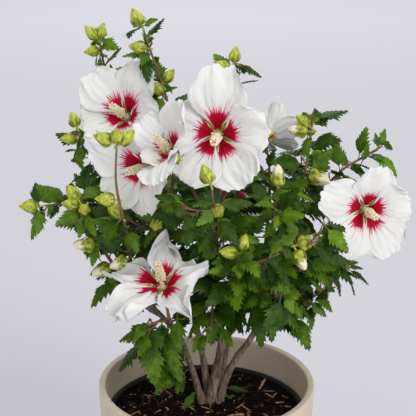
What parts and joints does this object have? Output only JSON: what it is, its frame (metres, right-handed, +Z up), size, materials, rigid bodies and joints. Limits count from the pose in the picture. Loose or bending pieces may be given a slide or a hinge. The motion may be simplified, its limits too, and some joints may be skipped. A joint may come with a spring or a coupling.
{
  "type": "hibiscus shrub",
  "caption": "Young flowering hibiscus shrub with white, red-hearted blooms and green buds, growing in a round beige planter.",
  "frame": {"origin": "middle of the planter's flat underside", "axes": "+Z up the plant, -Y towards the side that the flowers face, +X to the right seen from that side"},
  "size_m": [0.3926, 0.3201, 0.6107],
  "materials": {
    "planter": "matt, lightly speckled beige",
    "liner": "black, satin",
    "soil": "damp potting soil with bark chips",
    "bark": "grey-brown fissured bark",
    "foliage": "green leaves with a soft sheen",
    "blossom": "matt white petals with crimson hearts"
  },
  "bodies": {
    "root": {"planter": "planter", "liner_pot": "liner", "soil": "soil", "stem_main": "bark", "stem_right": "bark", "stem_left": "bark", "stem_leaning": "bark", "stem_back": "bark", "stem_upright": "bark", "bough_front_left": "bark", "bough_left": "bark", "bough_low_front": "bark", "bough_front": "bark", "bough_far_right": "bark", "bough_right_front": "bark", "bough_right": "bark", "bough_back_left": "bark", "bough_back_right": "bark", "bough_left_back": "bark", "tall_shoot": "foliage", "left_tall_shoot": "foliage", "front_left_shoot": "foliage", "left_shoot": "foliage", "far_left_shoot": "foliage", "upper_left_spray": "foliage", "top_shoot": "foliage", "right_shoot": "foliage", "far_right_shoot": "foliage", "low_right_shoot": "foliage", "flower_centre": "blossom", "flower_right": "blossom", "flower_upper_left": "blossom", "flower_mid_left": "blossom", "flower_middle": "blossom", "flower_low": "blossom", "flower_back_right": "blossom", "spray_front_centre": "foliage", "spray_left_hanging": "foliage", "spray_bright": "foliage", "spray_front_low": "foliage", "spray_low_left": "foliage", "spray_front_right": "foliage", "spray_right_buds": "foliage", "spray_right_low": "foliage", "spray_right": "foliage", "spray_right_upper": "foliage", "spray_upper_right": "foliage", "spray_centre_left": "foliage", "spray_left": "foliage", "spray_left_low": "foliage", "spray_back_upper": "foliage", "spray_back": "foliage", "spray_back_low": "foliage", "spray_back_left": "foliage", "spray_back_left_low": "foliage", "spray_right_back": "foliage", "spray_right_back_low": "foliage", "spray_inner_left": "foliage"}
  },
  "joints": []
}
